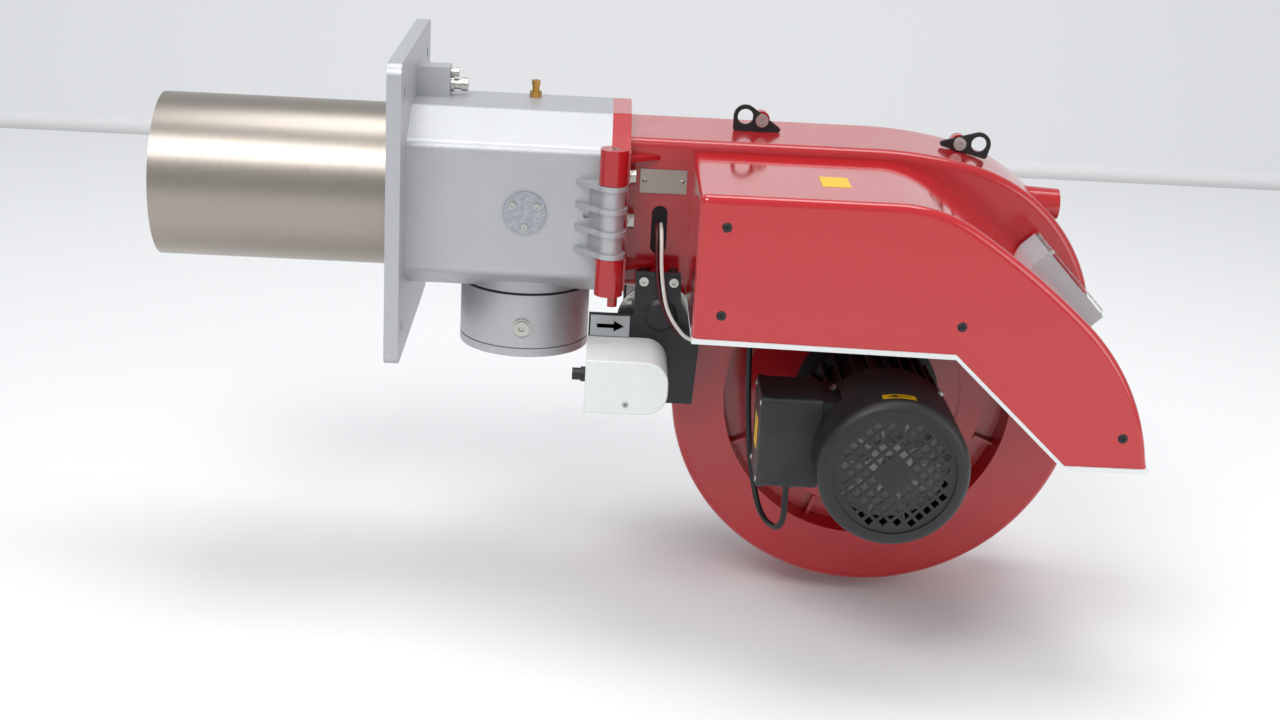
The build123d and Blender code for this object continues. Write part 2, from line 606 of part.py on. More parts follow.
def blade_screws():
    x = DAMPER_X + DAMPER_SHAFT_R - 1.5 + BLADE_T
    y0, y1 = blade_span()
    return screws([(x, y0 + 18, DAMPER_Z), (x, y1 - 18, DAMPER_Z)], "+X", 3.6, 2.4, 1.5, 0)


def servo_crank():
    """Servo output shaft with its crank arm and pin."""
    px, pz = crank_pin(SERVO_Z)
    hub = Sketch() + [Pos(DAMPER_X, SERVO_Z) * Circle(7), Pos(px, pz) * Circle(5.5)]
    arm = slab(make_hull(hub.edges()), ARM_Y + 3, ARM_Y)
    shaft = rod(DAMPER_X, ARM_Y, SERVO_Z, SERVO_SHAFT_R, ARM_Y - SERVO_FRONT - 60, "-Y")
    return arm + shaft + rod(px, ARM_Y + 1, pz, CRANK_PIN_R, ARM_Y + 1 - LINK_Y + 1, "-Y")


def link_rod():
    """Link between the servo crank and the dial."""
    ends = [crank_pin(SERVO_Z), crank_pin(DAMPER_Z)]
    eyes = Sketch() + [Pos(*p) * Circle(5) for p in ends]
    bar = slab(make_hull(eyes.edges()), LINK_Y + 3, LINK_Y)
    for x, z in ends:
        bar -= rod(x, LINK_Y - 1, z, CRANK_PIN_R + FIT, 6, "+Y")
    return bar


def servo_bracket():
    """Black plate that stands off the duct's side on two spacers and carries the servo."""
    outline = make_face(Polyline((262, -58), (310, -58), (312, -92), (334, -132), (330, -205), (246, -205),
                                 (246, -134), (214, -134), (214, -106), (262, -106), close=True))
    plate = slab(outline, BRACKET_Y + BRACKET_T, BRACKET_Y)
    for x in BRACKET_SCREW_X:
        plate += rod(x, -BODY_W / 2, BRACKET_SCREW_Z, 6, -BODY_W / 2 - BRACKET_Y, "-Y")
        plate -= rod(x, BRACKET_Y - 1, BRACKET_SCREW_Z, BRACKET_SCREW_R, 60, "+Y")
    bulge = turned([(0, BRACKET_Y - 3), (14, BRACKET_Y - 3), (18, BRACKET_Y), (0, BRACKET_Y)], DAMPER_X + 4, -106)
    return plate + bulge - rod(DAMPER_X, BRACKET_Y - 1, SERVO_Z, SERVO_SHAFT_R + 2, 6, "+Y")


def index_plate():
    return block(216, 258, BRACKET_Y - 2, BRACKET_Y, -131, -108)


def servo_housing():
    """Servo cover: square to the left, rounded off to the right."""
    box = Pos((SERVO_LEFT + SERVO_RIGHT) / 2, (SERVO_TOP + SERVO_BOTTOM) / 2) * Rectangle(
        SERVO_RIGHT - SERVO_LEFT, SERVO_TOP - SERVO_BOTTOM)
    part = slab(fillet(box.vertices().sort_by(Axis.X)[-2:], 24.0), BRACKET_Y, SERVO_FRONT)
    part -= rod(DAMPER_X, BRACKET_Y + 1, SERVO_Z, SERVO_SHAFT_R + 2, 32, "-Y")
    return fillet(part.faces().sort_by(Axis.Y)[0].outer_wire().edges(), 2.0)


def servo_gland():
    """Cable gland in the servo's left side, blanked off."""
    x, y, z = SERVO_LEFT, -160.0, -158.0
    return rod(x, y, z, 8.0, 5, "-X") + rod(x - 5, y, z, 6.5, 9, "-X")


# ---- fan wheel and motor -------------------------------------------------------------------
def wheel_blade():
    """One forward-curved blade between the two radii."""
    mid = (WHEEL_R + WHEEL_INNER_R) / 2
    lead = math.radians(9)
    inner = (WHEEL_INNER_R, 0)
    outer = (WHEEL_R * math.cos(lead) - 1.0, WHEEL_R * math.sin(lead))
    centre = (mid - 1, mid * math.sin(lead * 0.30))
    face = make_face([ThreePointArc(inner, centre, outer), Line(outer, (outer[0] + 0.9, outer[1] - 1.2)),
                      ThreePointArc((outer[0] + 0.9, outer[1] - 1.2), (centre[0] + 0.9, centre[1] - 1.2),
                                    (inner[0] + 0.9, inner[1] - 1.2)),
                      Line((inner[0] + 0.9, inner[1] - 1.2), inner)])
    return face


def fan_wheel():
    """Centrifugal wheel: back plate with hub, forward-curved blades and an inlet ring."""
    plate = rod(FAN_X, WHEEL_FRONT, FAN_Z, WHEEL_R, 2.5, "+Y") + rod(FAN_X, WHEEL_FRONT, FAN_Z, 20, 30, "+Y")
    ring = rod(FAN_X, WHEEL_BACK, FAN_Z, WHEEL_R, 3, "-Y") - rod(FAN_X, WHEEL_BACK + 1, FAN_Z, WHEEL_INNER_R - 2, 6, "-Y")
    profile = wheel_blade()
    blades = [Pos(FAN_X, 0, FAN_Z) * Rot(0, 360 / WHEEL_BLADES * i, 0) * slab(profile, WHEEL_BACK - 2, WHEEL_FRONT + 2)
              for i in range(WHEEL_BLADES)]
    return (plate + ring + blades) - rod(FAN_X, WHEEL_FRONT - 1, FAN_Z, SHAFT_R, 40, "+Y")


def motor_shaft():
    return rod(FAN_X, COVER_FRONT + 30, FAN_Z, SHAFT_R, WHEEL_FRONT + 34 - COVER_FRONT - 30, "+Y")


def motor_frame():
    """Finned stator frame with its front flange, end shields and a saddle for the terminal box."""
    front = RECESS_FLOOR - MOTOR_PLATE_T
    part = rod(FAN_X, front, FAN_Z, MOTOR_FLANGE_R, MOTOR_FLANGE_T, "-Y")
    part += turned([(0, front), (MOTOR_CORE_R + 8, front - 8), (MOTOR_CORE_R + 8, front - 34), (MOTOR_CORE_R, front - 40),
                    (MOTOR_CORE_R, MOTOR_BACK), (0, MOTOR_BACK)], FAN_X, FAN_Z)
    for i in range(MOTOR_FINS):
        fin = Pos(FAN_X, 0, FAN_Z) * Rot(0, 360 / MOTOR_FINS * i, 0)
        part += fin * block(MOTOR_CORE_R - 2, MOTOR_FIN_R, MOTOR_BACK, front - 34, -MOTOR_FIN_T / 2, MOTOR_FIN_T / 2)
    part -= block(BOX_SEAT - 60, BOX_SEAT, *BOX_Y, *BOX_Z)
    saddle = block(BOX_SEAT, FAN_X, BOX_Y[0] + 3, BOX_Y[1] - 3, BOX_Z[0] + 4, BOX_Z[1] - 4)
    part += saddle
    return part - rod(FAN_X, front + 1, FAN_Z, SHAFT_R + 0.5, 200, "-Y")


BOX_SEAT = 457.0
BOX_Y = (-238.0, -162.0)
BOX_Z = (-246.0, -148.0)
BOX_LID_T = 9.0
BOX_FRONT = 394.0


def terminal_box():
    """Motor terminal box, hollow towards its lid."""
    x0 = BOX_FRONT + BOX_LID_T
    part = block(x0, BOX_SEAT, *BOX_Y, *BOX_Z)
    part = fillet(part.edges().filter_by(Axis.X), 6)
    part -= block(x0 - 1, BOX_SEAT - 4, BOX_Y[0] + 4, BOX_Y[1] - 4, BOX_Z[0] + 4, BOX_Z[1] - 4)
    return part - rod(GLAND_X, GLAND_Y, BOX_Z[0] - 1, 6, 7, "+Z")


def terminal_box_lid():
    part = block(BOX_FRONT, BOX_FRONT + BOX_LID_T, BOX_Y[0] - 1, BOX_Y[1] + 1, BOX_Z[0] - 1, BOX_Z[1] + 1)
    part = fillet(part.edges().filter_by(Axis.X), 7)
    return fillet(part.faces().sort_by(Axis.X)[0].outer_wire().edges(), 2.5)


GLAND_X = 430.0
GLAND_Y = -200.0
GLAND_LEN = 12.0


def box_gland():
    """Hexagon gland under the terminal box."""
    z = BOX_Z[0]
    part = extrude(Plane(origin=(GLAND_X, GLAND_Y, z)) * RegularPolygon(9, 6), -5)
    return part + rod(GLAND_X, GLAND_Y, z - 4, 7.5, GLAND_LEN - 4, "-Z") + rod(GLAND_X, GLAND_Y, z, 6 - FIT, 3.9, "+Z")


def fan_cover():
    """Drawn sheet cowl over the cooling fan, open at the front for the grille."""
    r, f, w, e = COVER_R, COVER_FRONT, COVER_WALL, COVER_EDGE_R
    inner = GRILLE_R + 3
    plane = Plane(origin=(FAN_X, 0, FAN_Z), x_dir=(1, 0, 0), z_dir=(0, 0, 1))
    lines = [Line((r - w, MOTOR_BACK + 34), (r, MOTOR_BACK + 34)), Line((r, MOTOR_BACK + 34), (r, f + e)),
             RadiusArc((r, f + e), (r - e, f), e), Line((r - e, f), (inner, f)), Line((inner, f), (inner, f + w)),
             Line((inner, f + w), (r - e, f + w)), RadiusArc((r - e, f + w), (r - w, f + e), -(e - w)),
             Line((r - w, f + e), (r - w, MOTOR_BACK + 34))]
    part = revolve(plane * make_face(lines), Axis((FAN_X, 0, FAN_Z), (0, 1, 0)))
    part -= block(BOX_FRONT - 10, FAN_X - 20, BOX_Y[0] - 3, BOX_Y[1] + 40, BOX_Z[0] - 3, BOX_Z[1] + 3)
    return part


def fan_grille():
    """Lattice of square holes set cornerwise, with a solid middle."""
    disc = rod(FAN_X, COVER_FRONT + COVER_WALL, FAN_Z, GRILLE_R + 6, GRILLE_T, "+Y")
    steps = int(GRILLE_R / GRILLE_PITCH) + 1
    holes = Sketch()
    places = []
    for i in range(-steps, steps + 1):
        for j in range(-steps, steps + 1):
            u, v = i * GRILLE_PITCH, j * GRILLE_PITCH
            if math.hypot(u, v) < GRILLE_R - GRILLE_HOLE * 0.6 and max(abs(i), abs(j)) > 1:
                places.append(Pos(u, v) * Rectangle(GRILLE_HOLE, GRILLE_HOLE))
    holes += places
    cut = extrude(xz(COVER_FRONT + COVER_WALL - 1) * (Pos(FAN_X, FAN_Z) * Rot(0, 0, 45) * holes), -(GRILLE_T + 2))
    return disc - cut


def cooling_fan():
    """Radial cooling fan with straight blades."""
    hub = rod(FAN_X, COVER_FRONT + 34, FAN_Z, 22, 22, "+Y") + rod(FAN_X, COVER_FRONT + 50, FAN_Z, COOLING_FAN_R, 2.5, "+Y")
    for i in range(10):
        blade = Pos(FAN_X, 0, FAN_Z) * Rot(0, 36 * i, 0)
        hub += blade * block(20, COOLING_FAN_R, COVER_FRONT + 34, COVER_FRONT + 51, -1.2, 1.2)
    return hub - rod(FAN_X, COVER_FRONT + 33, FAN_Z, SHAFT_R, 40, "+Y")


def cover_screws():
    """Four screws that hold the cowl to the frame's rim."""
    out = []
    for i in range(4):
        turn = Pos(FAN_X, 0, FAN_Z) * Rot(0, 45 + 90 * i, 0)
        head = Pos(COVER_R + 1.5, MOTOR_BACK + 44 - 20, 0) * Rot(0, 90, 0) * Cylinder(4.2, 3.0)
        out.append(turn * head)
    return out


# ---- electrical hood -----------------------------------------------------------------------
def hood_base():
    """Corner points of the hood's lower edge, left to right."""
    return [(HOOD_LEFT, HOOD_BOTTOM), (HOOD_KNEE_X, HOOD_BOTTOM - 4), (HOOD_LOW_X, HOOD_LOW_Z), (HOOD_RIGHT, HOOD_LOW_Z)]


def hood_arcs(inset=0.0):
    """Three tangent arcs from the hood's flat top down to its back corner."""
    i = inset
    first = TangentArc((CROWN_X, HOOD_TOP - i), (592 - i * 0.5, 43 - i * 0.85), tangent=(1, 0))
    second = TangentArc(first @ 1, (712 - i * 0.7, -48 - i * 0.7), tangent=first % 1)
    return first, second, TangentArc(second @ 1, (HOOD_RIGHT - 2 - i, HOOD_LOW_Z + 8), tangent=second % 1)


def hood_profile():
    """Hood outline in the XZ plane."""
    first, second, third = hood_arcs()
    rest = Polyline(third @ 1, *reversed(hood_base()), (HOOD_LEFT, HOOD_TOP), (CROWN_X, HOOD_TOP))
    return make_face([first, second, third, rest])


def hood():
    """Deep plastic hood, open below and towards the fan body, with a window for the panel."""
    w = HOOD_WALL
    low = [(x + (w if k == 0 else -w if k == 3 else 0), z - 30) for k, (x, z) in enumerate(hood_base())]
    first, second, third = hood_arcs(w)
    rest = Polyline(third @ 1, *reversed(low), (low[0][0], HOOD_TOP - w), first @ 0)
    shell = slab(hood_profile(), HOOD_BACK, HOOD_FRONT)
    shell -= slab(make_face([first, second, third, rest]), HOOD_BACK + 1, HOOD_FRONT + w)
    corner = shell.edges().filter_by(Axis.Y).filter_by(lambda e: e.center().X < HOOD_LEFT + 1 and e.center().Z > 65)
    shell = fillet(corner, HOOD_EDGE_R)
    rim = shell.faces().sort_by(Axis.Y)[0].outer_wire().edges()
    upper = rim.filter_by(lambda e: e.center().Z > HOOD_BOTTOM + 20 or e.center().X > HOOD_RIGHT - 5)
    shell = fillet(upper, HOOD_EDGE_R)
    return shell - panel_block(FIT)


PANEL_AT = (712.0, -114.0, -46.5)   # middle of the panel on the hood's curved back
PANEL_TILT = 44.0                   # its normal, from +X towards +Z
PANEL_LONG = 94.0
PANEL_WIDE = 76.0
PANEL_BACK = 9.0
PANEL_FRONT = 14.0


def panel_frame():
    """A frame on the panel: X along Y of the part, Y up the slope, Z outwards."""
    a = math.radians(PANEL_TILT)
    return Plane(origin=PANEL_AT, x_dir=(0, 1, 0), z_dir=(math.cos(a), 0, math.sin(a)))


def panel_block(gap=0.0):
    frame = panel_frame()
    face = frame.offset(-PANEL_BACK) * Rectangle(PANEL_WIDE + 2 * gap, PANEL_LONG + 2 * gap)
    return extrude(face, PANEL_BACK + (30 if gap else PANEL_FRONT))


def panel():
    """Grey panel with a sunk field for the push buttons."""
    frame = panel_frame()
    part = panel_block()
    part -= extrude(frame.offset(PANEL_FRONT - 2) * Rectangle(PANEL_WIDE - 12, PANEL_LONG - 22), 10)
    for place in BUTTONS:
        part -= extrude(frame.offset(-PANEL_BACK - 1) * Pos(*place) * Circle(BUTTON_R + FIT), 40)
    return part


BUTTONS = ((-18.0, -18.0), (18.0, -18.0))
BUTTON_R = 7.0
FLAP_T = 2.0


def button(k):
    """Push button whose collar sits behind the panel."""
    spot = panel_frame().offset(-PANEL_BACK) * Pos(*BUTTONS[k])
    return extrude(spot * Circle(BUTTON_R), PANEL_BACK + PANEL_FRONT) + extrude(spot * Circle(BUTTON_R + 2), -2)


def flap():
    """Clear flap over the panel, hinged along its upper edge."""
    frame = panel_frame()
    z = PANEL_FRONT + 2.4
    y = PANEL_LONG / 2 - 3.5
    sheet = frame.offset(z) * Pos(0, -1) * Rectangle(PANEL_WIDE - 16, PANEL_LONG - 7)
    part = extrude(sheet, FLAP_T)
    knuckle = Plane(origin=frame.from_local_coords((-PANEL_WIDE / 2 + 8, y, z)), z_dir=(0, 1, 0))
    part += extrude(knuckle * Circle(2.2), PANEL_WIDE - 16)
    return part - extrude(knuckle.offset(-5) * Circle(FLAP_PIN_R + FIT), PANEL_WIDE)


FLAP_PIN_R = 1.0


def flap_pin():
    """Pin with two end blocks that stand on the panel."""
    frame = panel_frame()
    y = PANEL_LONG / 2 - 3.5
    z = PANEL_FRONT + 2.4
    pin = Plane(origin=frame.from_local_coords((-PANEL_WIDE / 2 + 3, y, z)), z_dir=(0, 1, 0))
    part = extrude(pin * Circle(FLAP_PIN_R), PANEL_WIDE - 6)
    for sx in (-1, 1):
        foot = frame.offset(PANEL_FRONT) * Pos(sx * (PANEL_WIDE / 2 - 5), y) * Rectangle(4, 5)
        part += extrude(foot, 4.5)
    return part


def mounting_panel():
    """Sheet that carries the controls under the hood, on four studs."""
    part = block(CARD_X[0], CARD_X[1], CARD_Y - 2, CARD_Y, CARD_Z[0], CARD_Z[1])
    for x in (CARD_X[0] + 10, CARD_X[1] - 10):
        for z in (CARD_Z[0] + 8, CARD_Z[1] - 8):
            part += rod(x, CARD_Y, z, 4, -BODY_W / 2 - CARD_Y, "+Y")
    return part


CARD_X = (336.0, 596.0)
CARD_Y = -80.0
CARD_Z = (-36.0, 30.0)
SOCKET_TOP = -40.0


def ignition_transformer():
    x0, face = 340, CARD_Y - 2
    part = fillet(block(x0, x0 + 84, face - 72, face, -30, 44).edges().filter_by(Axis.Y), 4)
    return part + rod(x0 + 24, face - 30, 44, 7, 9, "+Z") + rod(x0 + 60, face - 30, 44, 7, 9, "+Z")


def lead_socket():
    """Socket under the transformer that the two leads run into."""
    return block(342, 366, -142, -114, SOCKET_TOP, -30)


def control_box():
    face = CARD_Y - 2
    part = fillet(block(436, 538, face - 96, face, -32, 46).edges().filter_by(Axis.Y), 5)
    for i in range(8):
        part -= block(444 + i * 11.5, 448 + i * 11.5, face - 97, face - 92, -22, 20)
    return part


def cable_socket():
    """Clamp under the control box's left end that the motor cable runs into."""
    face = CARD_Y - 2
    return block(380, 400, face - 48, face, CABLE_TOP, CABLE_TOP + 6) + block(380, 400, face - 4, face, CABLE_TOP, -30)


CABLE_TOP = -46.0


def pressure_switch():
    face = CARD_Y - 2
    part = rod(570, face, 6, 24, 30, "-Y") + rod(570, face - 30, 6, 16, 8, "-Y")
    return part + rod(570, face - 12, -16, 3.5, 14, "-Z")


def route(points, radius):
    """A cord along points whose bends each use most of their shorter run."""
    radii = []
    for a, b, c in zip(points, points[1:], points[2:]):
        u, v = Vector(*b) - Vector(*a), Vector(*c) - Vector(*b)
        half = math.radians(u.get_angle(v)) / 2
        radii.append(0.45 * min(u.length, v.length) / math.tan(half))
    path = FilletPolyline(*points, radius=radii)
    return sweep(Plane(origin=path @ 0, z_dir=path % 0) * Circle(radius), path=path)


LEAD_POINTS = ((282, -66, -14), (282, -102, -14), (284, -114, -58), (292, -117.5, -98), (316, -119, -128),
               (346, -121, -124), (351, -122, -88), (351, -122, SOCKET_TOP))
SECOND_LEAD = (5.0, -4.8, -1.0)
CABLE_POINTS = ((GLAND_X, GLAND_Y, BOX_Z[0] - GLAND_LEN), (GLAND_X, GLAND_Y, -312), (410, -146, -318), (398, -108, -268),
                (392, -100, -200), (388, -112, -130), (388, -112, CABLE_TOP))


def lead(k):
    """One of the two leads from the body's slot to the transformer's socket."""
    points = []
    for n, (x, y, z) in enumerate(LEAD_POINTS):
        dx, dy, dz = (SECOND_LEAD if k else (0, 0, 0))
        first, last = n == 0, n == len(LEAD_POINTS) - 1
        points.append((x + dx, y if first else y + dy, SOCKET_TOP if last else z + dz))
    return route(points, LEAD_R)


def lead_grommet():
    """Rubber filling of the leads' slot."""
    part = slab(Pos(LEADS_X, LEADS_Z) * Rot(0, 0, 90) * SlotOverall(SLOT_LEN - 0.2, SLOT_W - 0.2),
                -BODY_W / 2 + SLOT_DEPTH, -BODY_W / 2 + SLOT_DEPTH - 1)
    return part


def rating_plate():
    """Blank plate on the body's motor side."""
    return block(262, 312, -BODY_W / 2 - 1.2, -BODY_W / 2, 20, 46)


def plate_bolts():
    """Hexagon bolts on the rear of the hinge plate, with their washers."""
    out = []
    for y, z in ((-88, 40), (-88, -8), (88, 40), (88, -40)):
        face = Plane(origin=(HEAD_END + PLATE_T, y, z), z_dir=(1, 0, 0))
        out.append(extrude(face * Circle(9), 1.5) + extrude(face.offset(1.5) * RegularPolygon(8, 6), 5.5))
    return out


def seal_strip():
    """White edging along the hood's lower rim."""
    base = hood_base()
    low = [(x, z - SEAL_H) for x, z in base]
    strip = slab(make_face(Polyline(*base, *reversed(low), close=True)), HOOD_BACK, HOOD_FRONT - 2)
    inner = block(HOOD_LEFT + SEAL_W, HOOD_RIGHT - SEAL_W, HOOD_FRONT + SEAL_W, HOOD_BACK - SEAL_W, -300, 100)
    return strip - inner



def build_head():
    save("blast_tube", blast_tube())
    save("mounting_flange", mounting_flange())
    save("chamber_pressure_tap", pressure_tap())
    save("head_housing", head_housing())
    save("gas_pressure_nipple", gas_nipple())
    save("side_cover", side_cover())
    save("side_cover_screws", side_cover_screws())
    save("gas_inlet_collar", gas_collar())
    save("gas_collar_plug", collar_plug())
    save("gas_collar_gasket", collar_gasket())
    pin = rod(HINGE_X, HINGE_Y, BARREL_BOTTOM + 2, HINGE_PIN_R, BARREL_TOP - BARREL_BOTTOM - 2, "+Z")
    save("hinge_pin", pin - extrude(Plane(origin=(HINGE_X, HINGE_Y, BARREL_TOP)) * RegularPolygon(3.5, 6), -5))
    save("gas_pipe", gas_pipe())
    save("gas_nozzle_ring", nozzle_ring())
    save("flame_disc", flame_disc())
    save("ignition_electrode", electrode(200, 10))
    save("ionisation_probe", electrode(20, 22))


def build_body():
    save("fan_body", fan_body())
    save("lifting_eyes", [lifting_eye((375, 94), EYE_SCREWS[0], (365, 81.01), (411, 81.01)),
                          lifting_eye((634, 76), EYE_SCREWS[1], (594, 75), (641, 63))])
    save("sight_glass", sight_glass())
    save("motor_plate", motor_plate())
    save("air_intake", air_intake())
    save("intake_grille", intake_grille())
    save("damper_shaft", damper_shaft())
    save("damper_blade", damper_blade())
    save("servo_crank", servo_crank())
    save("link_rod", link_rod())
    save("servo_bracket", servo_bracket())
    save("index_plate", index_plate())
    save("servo_housing", servo_housing())
    save("servo_gland", servo_gland())
    save("blade_screws", blade_screws())


def build_motor():
    save("fan_wheel", fan_wheel())
    save("motor_shaft", motor_shaft())
    save("motor_frame", motor_frame())
    save("terminal_box", terminal_box())
    save("terminal_box_lid", terminal_box_lid())
    save("box_gland", box_gland())
    save("fan_cover", fan_cover())
    save("fan_grille", fan_grille())
    save("cooling_fan", cooling_fan())
    save("cover_screws", cover_screws())


def build_hood():
    save("hood", hood())
    save("hood_edging", seal_strip())
    save("panel", panel())
    save("start_button", button(0))
    save("reset_button", button(1))
    save("panel_flap", flap())
    save("flap_pin", flap_pin())
    save("mounting_panel", mounting_panel())
    save("ignition_transformer", ignition_transformer())
    save("lead_sockets", [lead_socket(), cable_socket()])
    save("control_box", control_box())
    save("air_pressure_switch", pressure_switch())
    save("red_lead", lead(0))
    save("white_lead", lead(1))
    save("motor_cable", route(CABLE_POINTS, MOTOR_CABLE_R))
    save("lead_grommet", lead_grommet())
    save("rating_plate", rating_plate())
    save("plate_bolts", plate_bolts())
    front = RECESS_FLOOR - MOTOR_PLATE_T
    places = [plate_screw(i) for i in range(PLATE_SCREWS)]
    save("body_screws", screws([(x, BRACKET_Y, BRACKET_SCREW_Z) for x in BRACKET_SCREW_X], "-Y", 5, 4, 2.4, 41)
         + screws([(x, -EYE_T / 2, z) for x, z in EYE_SCREWS], "-Y", 7, 5, 2.4, 12)
         + screws([(x, front, z) for x, z in places], "-Y", 4.8, 4, 2.9, 13))


if __name__ == "__main__":
    build_head()
    build_body()
    build_motor()
    build_hood()
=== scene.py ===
import json
import math

import bmesh
import bpy
from mathutils import Matrix, Vector


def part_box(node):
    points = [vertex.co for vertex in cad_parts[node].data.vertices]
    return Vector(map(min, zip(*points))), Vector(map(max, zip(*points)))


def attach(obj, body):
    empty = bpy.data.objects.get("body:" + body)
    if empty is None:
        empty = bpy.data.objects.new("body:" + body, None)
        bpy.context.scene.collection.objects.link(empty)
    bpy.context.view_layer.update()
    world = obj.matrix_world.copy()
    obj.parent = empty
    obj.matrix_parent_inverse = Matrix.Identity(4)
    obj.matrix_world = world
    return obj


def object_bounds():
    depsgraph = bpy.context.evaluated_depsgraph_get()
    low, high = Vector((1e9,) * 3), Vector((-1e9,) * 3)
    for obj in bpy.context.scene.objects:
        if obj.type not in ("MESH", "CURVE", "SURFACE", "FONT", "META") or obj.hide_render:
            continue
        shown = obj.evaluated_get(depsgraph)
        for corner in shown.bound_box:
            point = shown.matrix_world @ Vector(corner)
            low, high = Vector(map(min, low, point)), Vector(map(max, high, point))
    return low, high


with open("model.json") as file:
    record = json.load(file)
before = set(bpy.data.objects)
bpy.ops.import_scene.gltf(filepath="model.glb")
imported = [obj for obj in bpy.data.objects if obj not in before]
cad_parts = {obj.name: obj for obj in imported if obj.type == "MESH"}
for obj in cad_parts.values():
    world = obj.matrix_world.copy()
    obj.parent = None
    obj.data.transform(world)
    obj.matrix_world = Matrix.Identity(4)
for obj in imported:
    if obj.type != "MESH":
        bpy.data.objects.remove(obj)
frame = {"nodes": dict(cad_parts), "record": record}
cad_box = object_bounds()
nodes = frame["nodes"]


# ---- materials -----------------------------------------------------------------------------
def linear(code):
    """An sRGB hex colour as linear RGBA."""
    out = []
    for i in (0, 2, 4):
        c = int(code[i:i + 2], 16) / 255
        out.append(c / 12.92 if c <= 0.04045 else ((c + 0.055) / 1.055) ** 2.4)
    return (*out, 1.0)


def add(tree, kind, links=(), **values):
    """Adds one shader node, sets its inputs or properties by name and links inputs to sockets."""
    node = tree.nodes.new(kind)
    for key, value in values.items():
        name = key.replace("_", " ")
        if name in node.inputs:
            node.inputs[name].default_value = value
        else:
            setattr(node, key, value)
    for name, socket in links:
        tree.links.new(socket, node.inputs[name])
    return node


def finish_of(name, colour, rough, metal=0.0, grain=0.0, scale=60.0, bump=0.0, vary=0.0, coat=0.0,
              stretch=(1, 1, 1), cells=False, spread=0.06, grime=0.0):
    """A procedural finish: colour and roughness drift, a grain and, where asked, dust in broad patches."""
    m = bpy.data.materials.new(name)
    m.use_nodes = True
    t = m.node_tree
    t.nodes.clear()
    out = t.nodes.new("ShaderNodeOutputMaterial")
    b = add(t, "ShaderNodeBsdfPrincipled", Metallic=metal, Roughness=rough)
    t.links.new(b.outputs[0], out.inputs[0])
    b.inputs["Base Color"].default_value = linear(colour)
    if coat:
        b.inputs["Coat Weight"].default_value = coat
        b.inputs["Coat Roughness"].default_value = 0.08
    where = add(t, "ShaderNodeTexCoord")
    place = add(t, "ShaderNodeMapping", [("Vector", where.outputs["Object"])])
    place.inputs["Scale"].default_value = stretch
    if cells:
        fine = add(t, "ShaderNodeTexVoronoi", [("Vector", place.outputs[0])], Scale=scale)
        value = add(t, "ShaderNodeSeparateColor", [("Color", fine.outputs["Color"])]).outputs[0]
    else:
        fine = add(t, "ShaderNodeTexNoise", [("Vector", place.outputs[0])], Scale=scale, Detail=6.0)
        value = fine.outputs["Fac"]
    broad = add(t, "ShaderNodeTexNoise", [("Vector", where.outputs["Object"])], Scale=9.0, Detail=3.0)
    if vary or grime:
        source = value if vary else broad.outputs["Fac"]
        span = add(t, "ShaderNodeMapRange", [("Value", source)])
        span.inputs["From Min"].default_value = 0.3 if not cells else 0.0
        span.inputs["From Max"].default_value = 0.7 if not cells else 1.0
        span.inputs["To Min"].default_value = 1 - vary
        span.inputs["To Max"].default_value = 1 + vary
        mix = add(t, "ShaderNodeMix", data_type="RGBA", blend_type="MULTIPLY")
        mix.inputs[0].default_value = 1.0
        mix.inputs[6].default_value = linear(colour)
        t.links.new(span.outputs[0], mix.inputs[7])
        t.links.new(mix.outputs[2], b.inputs["Base Color"])
        last = mix.outputs[2]
        if grime:
            edge = add(t, "ShaderNodeMapRange", [("Value", broad.outputs["Fac"])])
            edge.inputs["From Min"].default_value = 0.52
            edge.inputs["From Max"].default_value = 0.75
            edge.inputs["To Max"].default_value = grime
            dust = add(t, "ShaderNodeMix", [("Factor", edge.outputs[0])], data_type="RGBA")
            t.links.new(last, dust.inputs[6])
            dust.inputs[7].default_value = linear("8A857C")
            t.links.new(dust.outputs[2], b.inputs["Base Color"])
    r = add(t, "ShaderNodeMapRange", [("Value", value if grain else broad.outputs["Fac"])])
    r.inputs["From Min"].default_value = 0.3
    r.inputs["From Max"].default_value = 0.7
    r.inputs["To Min"].default_value = max(0.02, rough - spread)
    r.inputs["To Max"].default_value = rough + spread
    t.links.new(r.outputs[0], b.inputs["Roughness"])
    if bump:
        bp = add(t, "ShaderNodeBump", [("Height", value)], Strength=bump, Distance=0.0006)
        t.links.new(bp.outputs[0], b.inputs["Normal"])
    return m


